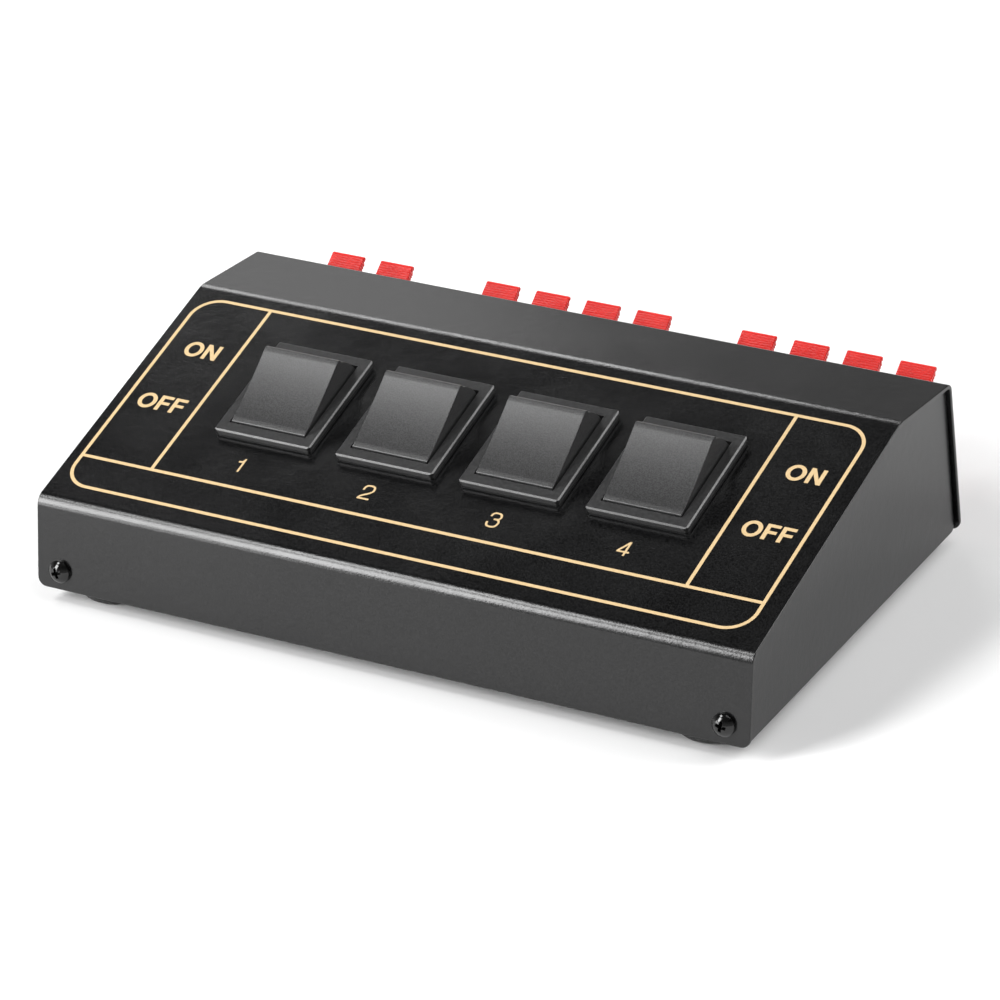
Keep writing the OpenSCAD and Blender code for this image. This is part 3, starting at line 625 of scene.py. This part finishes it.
# rocker caps: dished top between two thin lips, turned about the pivot
rockerLook = {
    "width": 19.5, "radius": 12.6, "sides": 180,
    "lip": 0.4, "lipThickness": 0.9, "lipFoot": 0.15,     # the foot slopes from the lip to the side
    "topAngle": 40.4, "skirtAngle": 10,                   # where the top and the skirt cut the round
    "dish": 0.4, "dishSides": 720, "dishOverhang": 8,
    "edge": (0.3, 4, 40), "shade": 35,
    "pivotDepth": 2.8, "tilt": 18.5, "wall": 1.3, "roof": 1.6, "hollowTaper": 0.78,
    "boss": 2.3, "bossReach": 3.3, "bore": 1.36, "boreTop": 5, "bossApart": 5,
    "stub": 1.5, "stubEnd": 10.7, "stubRoot": 0.4, "stubSides": 40,
}


def rockerShell():
    # also gives the height of the hollow's roof, in millimetres above the pivot
    r = rockerLook
    outer = r["radius"] + r["lip"]
    rim, low = outer * sine(r["topAngle"]), -outer * sine(r["skirtAngle"])
    step = rim - r["lipThickness"]
    shell = disc(outer, r["width"], (0, 0, 0), crosswise, r["sides"])
    edit(shell)
    sliceAt(rim, use_fill=True, clear_outer=True)
    sliceAt(low, use_fill=True, clear_inner=True)
    sliceAt(step)
    sliceAt(step - r["lipFoot"])
    shrink = r["radius"] / outer
    choose("verts", lambda v: v.co.z < (step - r["lipFoot"] / 2) * mm)
    stretch(1, shrink, shrink)
    dishRadius = (outer * cosine(r["topAngle"])) ** 2 / (2 * r["dish"])
    cutAway(shell, disc(dishRadius, r["width"] + r["dishOverhang"],
                        (0, 0, (rim - r["dish"] + dishRadius) * mm), crosswise, r["dishSides"]))
    softenEdges(shell, *r["edge"])
    edit(shell, "FACE")
    floor = low * shrink * mm
    choose("faces", lambda f: facesDown(f) and f.calc_center_median().z < floor + r["edge"][0] * mm)
    bpy.ops.mesh.inset(thickness=r["wall"] * mm)
    roof = rim - r["dish"] - r["roof"]
    pull((0, 0, roof * mm - floor))
    stretch(1, r["hollowTaper"], 1)
    return shell, roof


def makeRockerCap():
    r = rockerLook
    shell, roof = rockerShell()
    parts = [shell]
    for side in (-1, 1):
        bossMiddle = (side * r["bossApart"] * mm, 0, (roof - r["bossReach"]) / 2 * mm)
        boss = disc(r["boss"], roof + r["bossReach"], bossMiddle)
        edit(boss, "FACE")
        choose("faces", facesDown)
        bpy.ops.mesh.inset(thickness=(r["boss"] - r["bore"]) * mm)
        pull((0, 0, (r["bossReach"] + r["boreTop"]) * mm))
        reach = r["stubEnd"] - r["width"] / 2 + r["stubRoot"]
        stubMiddle = (side * (r["stubEnd"] - reach / 2) * mm, 0, 0)
        parts += [boss, disc(r["stub"], reach, stubMiddle, crosswise, r["stubSides"])]
    cap = joined("rockerCap_1", *parts)
    smooth(cap, r["shade"])
    cap.rotation_euler = (math.radians(caseShape["slopeTilt"] + r["tilt"]), 0, 0)
    cap.location = onSlope(switchPlaces[0], switchLook["up"], -r["pivotDepth"])
    applyPlace(cap)
    return cap


def makeSwitches():
    cap = makeRockerCap()
    housing = reworked("switch_housing_1", "switchHousing_1")
    softenEdges(housing, *switchLook["edge"])
    smooth(housing)
    for k in range(switchLook["count"]):
        offset = (k * switchLook["pitch"] * mm, 0, 0)
        oneCap = cap if k == 0 else copied(cap, f"rockerCap_{k + 1}", offset)
        oneHousing = housing if k == 0 else copied(housing, f"switchHousing_{k + 1}", offset)
        finished(oneCap, f"rocker_{k + 1}", rockerPlastic, "rocker_plastic", f"rocker_cap_{k + 1}")
        finished(oneHousing, "root", bezelPlastic, "bezel_plastic", f"switch_housing_{k + 1}")


makeSwitches()
print("switches made")


# lever: arm, hub, leg and a ribbed thumb tab with a bead at its end
def leverOutline(row):
    look = leverLook
    rise = look["tabRise"]
    along, down = Vector((cosine(rise), sine(rise))), Vector((sine(rise), -cosine(rise)))
    pivot, elbow = Vector(look["pivot"]), Vector(look["elbow"])
    tip = elbow + look["tabLength"] * along
    bead, thick, cut = look["bead"], look["thickness"], look["elbowCut"]
    beadMiddle = tip + bead * down - look["beadBack"] * bead * along
    points = [pivot + Vector((0, look["hub"]))]
    points += [elbow - Vector((cut, -look["elbowRise"])), elbow + cut * along]
    for angle in look["beadArc"]:
        points.append(beadMiddle + bead * (cosine(angle) * along - sine(angle) * down))
    toothed = look["tabLength"] - 2 * bead - look["plainEnd"]
    for k in range(look["teeth"]):
        for half in (0, 1):
            if k or half:
                back = 2 * bead + toothed * (k + half / 2) / look["teeth"]
                points.append(tip - back * along + (thick - (1 - half) * look["tooth"]) * down)
    points.append(elbow + Vector((look["tooth"], -thick)))
    points.append(Vector((pivot.x + look["legFront"], elbow.y - thick)))
    points.append(Vector(look["legTip"]) + Vector((look["legWidth"] / 2, 0)))
    points.append(Vector(look["legTip"]) - Vector((look["legWidth"] / 2, 0)))
    for angle in look["hubArc"]:
        points.append(pivot + look["hub"] * Vector((cosine(angle), sine(angle))))
    return [(p.x, row * p.y) for p in points]


def makeLever(row, name):
    look = leverLook
    lever = prismAlong(leverOutline(row), look["width"], name)
    softenEdges(lever, *look["edge"])
    pin = disc(look["pin"], look["pinLength"], (0, look["pivot"][0] * mm, row * look["pivot"][1] * mm),
               crosswise, look["pinSides"])
    lever = joined(name, lever, pin)
    smooth(lever, look["shade"])
    lever.rotation_euler = (math.radians(caseShape["rearLean"]), 0, 0)
    lever.location = onRearWall(0, 0, 0)
    applyPlace(lever)
    return lever


def makeLevers():
    places = [middle + (k - (poles - 1) / 2) * terminalLook["pitch"]
              for middle, poles in terminalLook["blocks"] for k in range(poles)]
    for row, colour, plastic in ((1, "red", redPlastic), (-1, "black", blackPlastic)):
        first = makeLever(row, colour + "LeverShape")
        for k, x in enumerate(places):
            lever = copied(first, f"{colour}Lever_{k + 1}", (x * mm, 0, 0))
            solid = f"{colour}_lever_{k + 1}"      # the body and the node have the same name
            finished(lever, solid, plastic, f"{colour}_plastic", solid)
        bpy.data.objects.remove(first)


def makeBlocks():
    for nodeName, name in (("input_block", "inputBlock"), ("output_block_a", "outputBlockA"),
                           ("output_block_b", "outputBlockB")):
        piece = reworked(nodeName, name)
        softenEdges(piece, *terminalLook["edge"])
        smooth(piece)
        finished(piece, "root", blockPlastic, "block_plastic", nodeName)
    rivets = reworked("block_rivets", "blockRivets")
    softenEdges(rivets, *terminalLook["rivetEdge"])
    smooth(rivets)
    finished(rivets, "root", blackScrew, "black_screw", "block_rivets")


makeLevers()
makeBlocks()
print("terminals made")


# screws: domed head with a cross recess, made about z and then laid on its wall
def screwHead():
    s = screwLook
    steps, rings = s["domeSteps"]
    letGo()
    bpy.ops.mesh.primitive_uv_sphere_add(segments=steps, ring_count=rings, radius=s["dome"] * mm,
                                         location=(0, 0, (s["height"] - s["dome"]) * mm))
    head = bpy.context.object
    applyPlace(head)
    shoulder = s["height"] - s["dome"] + math.sqrt(s["dome"] ** 2 - s["head"] ** 2)
    edit(head, "EDGE")
    sliceAt(shoulder, clear_inner=True)
    choose("edges", lambda e: e.is_boundary)
    pull((0, 0, -shoulder * mm))
    bpy.ops.mesh.edge_face_add()
    turnOutwards()
    return head


def recessArm(turn):
    s = screwLook
    arm = block((*s["slot"], 2 * s["slotDepth"]), (0, 0, s["height"] * mm), (0, 0, math.radians(turn)))
    edit(arm)
    choose("verts", lambda v: v.co.z < s["height"] * mm)
    stretch(s["slotTaper"], s["slotTaper"], 1)
    letGo()
    return arm


def makeScrew():
    s = screwLook
    head = screwHead()
    for arm in [recessArm(turn) for turn in (0, 90)]:
        cutAway(head, arm)
    softenEdges(head, *s["edge"])
    shank = disc(s["shank"], s["shankLength"], (0, 0, -s["shankLength"] / 2 * mm), vertices=s["shankSides"])
    screw = joined("screwShape", head, shank)
    smooth(screw, s["shade"])
    return screw


def laidPair(first, name, nodeName, turn, places):
    pair = []
    for place, twist in zip(places, screwLook["twists"]):
        screw = copied(first, name, (0, 0, 0))
        screw.matrix_world = (Matrix.Translation(place) @ Matrix.Rotation(turn, 4, "X")
                              @ Matrix.Rotation(math.radians(twist), 4, "Z"))
        applyPlace(screw)
        pair.append(screw)
    return finished(joined(name, *pair), "root", blackScrew, "black_screw", nodeName)


def makeScrews():
    first = makeScrew()
    sides = (-screwLook["across"], screwLook["across"])
    laidPair(first, "frontScrews", "cover_screws_front", frontTurn,
             [onFrontWall(x, screwLook["up"]) for x in sides])
    laidPair(first, "rearScrews", "cover_screws_rear", rearTurn, [rearScrewPlace(x) for x in sides])
    bpy.data.objects.remove(first)


# feet: moulded discs with a full round at the floor
footLook = {
    "radius": 9, "height": 4.4, "sides": 96, "round": 2.6, "roundSteps": 10,
    "topRound": 0.2, "topSteps": 3, "across": 76.7, "front": 11.6, "rear": 92.6,
}


def makeFeet():
    f = footLook
    foot = disc(f["radius"], f["height"], (0, 0, f["height"] / 2 * mm), vertices=f["sides"])
    edit(foot, "EDGE")
    choose("edges", lambda e: all(v.co.z < closeEnough for v in e.verts))
    bpy.ops.mesh.bevel(offset=f["round"] * mm, segments=f["roundSteps"], affect="EDGES")
    choose("edges", lambda e: all(v.co.z > f["height"] * mm - closeEnough for v in e.verts))
    bpy.ops.mesh.bevel(offset=f["topRound"] * mm, segments=f["topSteps"], affect="EDGES")
    letGo()
    feet = [copied(foot, "foot", (x * f["across"] * mm, (y + caseFront) * mm, 0))
            for x in (-1, 1) for y in (f["front"], f["rear"])]
    bpy.data.objects.remove(foot)
    feet = joined("rubberFeet", *feet)
    smooth(feet)
    return finished(feet, "root", rubberSkin, "foot_rubber", "feet")


makeScrews()
makeFeet()
print("screws and feet made")


# printing on the slope: frame lines, ON and OFF, and the switches' numerals
printLook = {
    "middle": -0.96, "halfWidth": 87.1, "low": 6.1, "high": 71.9, "corner": 6.5, "cornerSteps": 16,
    "line": 0.85, "rule": 15.5,       # the rule is the level line above the frame's lower one
    "cell": 68.4,                     # from the middle to each upright line
    "thickness": 0.03, "proud": 0.025,
    "words": (("ON", -78.5, 54.9), ("ON", 77.5, 54.8), ("OFF", -78.7, 36.2), ("OFF", 77.4, 35.9)),
    "numerals": ((-49.15, 22.45), (-16.2, 22.5), (16.4, 22.45), (49.05, 22.35)),
    "stroke": 0.5, "strokeSteps": 3, "numeralSize": 0.95, "numeralSteps": 12,
}

# bold letters as outlines from their lower left corner; the O is a ring
boldLetters = {
    "height": 4.9, "gap": 0.54,
    "ring": ((4.7, 5.05), (2.65, 3.2)), "ringSides": 72,
    "outlines": {
        "N": [(0, 0), (0.98, 0), (0.98, 3.1), (2.82, 0), (3.8, 0), (3.8, 4.9), (2.82, 4.9), (2.82, 1.8),
              (1.0, 4.9), (0, 4.9)],
        "F": [(0, 0), (1.02, 0), (1.02, 1.98), (3.0, 1.98), (3.0, 2.86), (1.02, 2.86), (1.02, 4.01),
              (3.27, 4.01), (3.27, 4.9), (0, 4.9)],
    },
}

# light numerals as pen paths about their middle; a path is either rounded or straight
penNumerals = [
    [("straight", [(0, -2.2), (0, 2.35)]),
     ("rounded", [(-1.35, 1.1), (-0.7, 1.1), (-0.15, 1.35), (0, 2.1)])],
    [("rounded", [(-1.3, 0.65), (-1.35, 1.5), (-0.85, 2.2), (0.05, 2.3), (1.05, 2.15), (1.45, 1.2),
                  (1.2, 0.3), (0.2, -0.5), (-0.9, -1.2), (-1.35, -1.75), (-1.4, -2.15)]),
     ("straight", [(-1.68, -2.12), (1.5, -2.12)])],
    [("rounded", [(-1.3, 1.0), (-1.25, 1.75), (-0.75, 2.25), (0.05, 2.3), (0.95, 2.15), (1.35, 1.3),
                  (1.1, 0.45), (0.4, 0.3), (-0.25, 0.27)]),
     ("rounded", [(-0.1, 0.27), (0.6, 0.3), (1.35, -0.1), (1.45, -1.15), (1.0, -2.1), (0, -2.3),
                  (-1.0, -2.15), (-1.45, -1.4), (-1.4, -0.8)])],
    [("straight", [(0.6, -2.35), (0.6, 2.3)]), ("straight", [(0.6, 2.25), (-1.45, -1.05)]),
     ("straight", [(-1.6, -1.05), (1.6, -1.05)])],
]


def layOnSlope(piece, x, up):
    piece.rotation_euler = (math.radians(caseShape["slopeTilt"]), 0, 0)
    piece.location = onSlope(x, up, printLook["proud"])
    applyPlace(piece)
    return piece


def flatPlate(width, length):
    letGo()
    bpy.ops.mesh.primitive_plane_add(size=1)
    plate = bpy.context.object
    plate.scale = (width * mm, length * mm, 1)
    applyPlace(plate)
    return plate


def makeFrameLines():
    p = printLook
    line, middle = p["line"], p["middle"]
    ring = flatPlate(2 * p["halfWidth"] + line, p["high"] - p["low"] + line)
    edit(ring)
    chooseAll()
    bpy.ops.mesh.bevel(offset=(p["corner"] + line / 2) * mm, segments=p["cornerSteps"], affect="VERTICES")
    bpy.ops.mesh.select_mode(type="FACE")
    chooseAll()
    bpy.ops.mesh.inset(thickness=line * mm)
    bpy.ops.mesh.delete(type="FACE")
    letGo()
    parts = [layOnSlope(ring, middle, (p["low"] + p["high"]) / 2)]
    parts.append(layOnSlope(flatPlate(2 * p["halfWidth"] - line, line), middle, p["rule"]))
    for side in (-1, 1):
        upright = flatPlate(line, p["high"] - p["rule"] - line)
        parts.append(layOnSlope(upright, middle + side * p["cell"], (p["high"] + p["rule"]) / 2))
    lines = joined("frameLines", *parts)
    applied(lines, "SOLIDIFY", thickness=p["thickness"] * mm, offset=-1)
    return finished(lines, "root", goldInk)


def ringLetter():
    (outerWide, outerTall), (innerWide, innerTall) = boldLetters["ring"]
    letGo()
    bpy.ops.mesh.primitive_circle_add(vertices=boldLetters["ringSides"], radius=mm / 2)
    ring = bpy.context.object
    edit(ring)
    chooseAll()
    stretch(outerWide, outerTall, 1)
    pull((0, 0, 0))
    stretch(innerWide / outerWide, innerTall / outerTall, 1)
    letGo()
    ring.data.transform(Matrix.Translation((outerWide / 2 * mm, boldLetters["height"] / 2 * mm, 0)))
    applied(ring, "SOLIDIFY", thickness=printLook["thickness"] * mm, offset=0)
    return ring, outerWide


def outlineLetter(outline):
    letter = prismAlong(outline, printLook["thickness"], "letter")
    letter.data.transform(Matrix(((0, 1, 0, 0), (0, 0, 1, 0), (1, 0, 0, 0), (0, 0, 0, 1))))
    return letter, max(point[0] for point in outline)


def makeWord(text, name, x, up):
    letters, reach = [], 0
    for sign in text:
        letter, wide = ringLetter() if sign == "O" else outlineLetter(boldLetters["outlines"][sign])
        letter.data.transform(Matrix.Translation((reach * mm, 0, 0)))
        reach += wide + boldLetters["gap"]
        letters.append(letter)
    word = joined(name, *letters)
    middle = ((reach - boldLetters["gap"]) / 2 * mm, boldLetters["height"] / 2 * mm, 0)
    word.data.transform(Matrix.Translation([-value for value in middle]))
    return finished(layOnSlope(word, x, up), "root", goldInk)


def penStroke(kind, points):
    # a round pen line, pressed flat
    p = printLook
    letGo()
    bpy.ops.curve.primitive_nurbs_path_add()
    path = bpy.context.object
    path.data.splines.clear()
    spline = path.data.splines.new("NURBS")
    spline.points.add(len(points) - 1)
    for spot, point in zip(spline.points, points):
        spot.co = (*(p["numeralSize"] * mm * value for value in point), 0, 1)
    spline.use_endpoint_u = True
    spline.order_u = 3 if kind == "rounded" else 2
    path.data.resolution_u = p["numeralSteps"]
    path.data.bevel_depth = p["stroke"] / 2 * mm
    path.data.bevel_resolution = p["strokeSteps"]
    path.data.use_fill_caps = True
    bpy.ops.object.convert(target="MESH")
    stroke = bpy.context.object
    stroke.data.transform(Matrix.Scale(p["thickness"] / p["stroke"], 4, (0, 0, 1)))
    return stroke


def makeNumeral(paths, name, x, up):
    strokes = [penStroke(kind, points) for kind, points in paths]
    numeral = layOnSlope(joined(name, *strokes), x, up)
    smooth(numeral)
    return finished(numeral, "root", goldInk)


def makePrinting():
    makeFrameLines()
    for k, (text, x, up) in enumerate(printLook["words"]):
        makeWord(text, f"word_{k + 1}", x, up)
    for k, (x, up) in enumerate(printLook["numerals"]):
        makeNumeral(penNumerals[k], f"numeral_{k + 1}", x, up)


makePrinting()
print("printing made")


# solids that keep their own mesh, and only take a finish
innerFinish = {
    "rocker_plungers": plungerPlastic, "plunger_springs": springSteel, "contact_blades": copperStrip,
    "switch_terminals": tinnedMetal, "input_clips": clipStrip, "output_clips": clipStrip,
    "input_leads": redLead, "output_leads": redLead,
    "switch_busbars": tinnedMetal, "return_busbars": tinnedMetal,
}
for nodeName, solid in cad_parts.items():
    for start, finish in innerFinish.items():
        if nodeName.startswith(start):
            solid.data.materials.clear()
            solid.data.materials.append(finish)
print("inner parts finished")


# studio: white floor, large soft lamps and a sky that is dark overhead
studioLook = {
    "floor": (0.94, 0.94, 0.94), "floorSize": 12, "floorCloud": 4, "floorShade": 0.99,
    "floorRoughness": 0.9, "floorSpecular": 0.1,
    "horizon": 0.45, "zenith": 0.012, "skyFrom": 0.1, "skyTo": 0.55,
    "aim": (0, 0, 0.02),              # what the lamps point at, in metres
}
lampLook = {
    "key": {"place": (-0.74, -0.96, 0.75), "size": (0.48, 0.7), "power": 18.0},
    "low": {"place": (-0.47, -0.5, 0.1), "size": (0.36, 0.16), "power": 1.2},
    "caps": {"place": (-0.6, -0.46, 1.08), "size": (0.36, 0.28), "power": 5.0},
    "right": {"place": (0.85, 0.5, 0.76), "size": (0.6, 0.6), "power": 8.5},
    "top": {"place": (0.55, 0.0, 1.4), "size": (1.0, 1.0), "power": 6.0},
    "back": {"place": (-0.74, 0.95, 0.38), "size": (0.42, 0.36), "power": 0.3},
    "rim": {"place": (-0.66, 0.8, 0.74), "size": (0.54, 0.2), "power": 2.7},
}


def softLamp(name, place, size, power):
    lamp = bpy.data.lights.new(name, "AREA")
    lamp.shape = "RECTANGLE"
    lamp.size, lamp.size_y = size
    lamp.energy = power
    holder = bpy.data.objects.new(name, lamp)
    bpy.context.scene.collection.objects.link(holder)
    holder.location = place
    aim = Vector(studioLook["aim"]) - Vector(place)
    holder.rotation_euler = aim.to_track_quat("-Z", "Y").to_euler()
    return holder


def makeFloor():
    s = studioLook
    letGo()
    bpy.ops.mesh.primitive_plane_add(size=s["floorSize"], location=(0, 0, 0))
    floor = newPiece("studioFloor")
    material, tree, shader = startMaterial("studioPaper")
    shade = [s["floorShade"] * tone for tone in s["floor"]]
    paper = rampOf(tree, noiseAt(tree, s["floorCloud"]), shade, s["floor"])
    tree.links.new(paper, shader.inputs["Base Color"])
    shader.inputs["Roughness"].default_value = s["floorRoughness"]
    shader.inputs["Specular IOR Level"].default_value = s["floorSpecular"]
    floor.data.materials.append(material)


def makeSky():
    # the camera sees plain white, and only the reflections and the light see the gradient
    s = studioLook
    world = bpy.data.worlds.new("studioSky")
    bpy.context.scene.world = world
    world.use_nodes = True
    sky = world.node_tree
    place = node(sky, "ShaderNodeTexCoord")
    split = node(sky, "ShaderNodeSeparateXYZ")
    sky.links.new(place.outputs["Generated"], split.inputs["Vector"])
    horizon, zenith = [s["horizon"]] * 3, [s["zenith"]] * 3
    gradient = rampOf(sky, split.outputs["Z"], horizon, zenith, s["skyFrom"], s["skyTo"])
    light = sky.nodes["Background"]
    sky.links.new(gradient, light.inputs["Color"])
    seen = node(sky, "ShaderNodeBackground", Color=(1, 1, 1, 1), Strength=1.0)
    path = node(sky, "ShaderNodeLightPath")
    mix = node(sky, "ShaderNodeMixShader")
    sky.links.new(path.outputs["Is Camera Ray"], mix.inputs["Fac"])
    sky.links.new(light.outputs["Background"], mix.inputs[1])
    sky.links.new(seen.outputs["Background"], mix.inputs[2])
    sky.links.new(mix.outputs["Shader"], sky.nodes["World Output"].inputs["Surface"])


def makeStudio():
    makeFloor()
    for name, look in lampLook.items():
        softLamp(name + "Lamp", **look)
    makeSky()


cameraLook = {
    "azimuth": 31.315, "elevation": 28.228, "roll": -4.003,
    "place": (547.34, -844.56, 578.92),
    "focal": 5.2727,          # in frame widths
    "sensor": 36, "clip": (0.01, 50),
}


def makeCamera():
    c = cameraLook
    azimuth, elevation, roll = c["azimuth"], c["elevation"], c["roll"]
    level = cosine(elevation)
    ahead = Vector((-sine(azimuth) * level, cosine(azimuth) * level, -sine(elevation)))
    levelRight = Vector((cosine(azimuth), sine(azimuth), 0))
    levelDown = ahead.cross(levelRight)
    right = cosine(roll) * levelRight - sine(roll) * levelDown
    down = sine(roll) * levelRight + cosine(roll) * levelDown
    lens = bpy.data.cameras.new("photoCamera")
    lens.sensor_width = c["sensor"]
    lens.lens = c["sensor"] * c["focal"]
    lens.clip_start, lens.clip_end = c["clip"]
    camera = bpy.data.objects.new("photoCamera", lens)
    bpy.context.scene.collection.objects.link(camera)
    turn = Matrix((right, -down, -ahead)).transposed().to_4x4()
    camera.matrix_world = Matrix.Translation(onCase(*c["place"])) @ turn
    bpy.context.scene.camera = camera


makeStudio()
makeCamera()
bpy.context.scene.view_settings.view_transform = "Standard"
letGo()
bpy.context.view_layer.update()
print("studio ready")
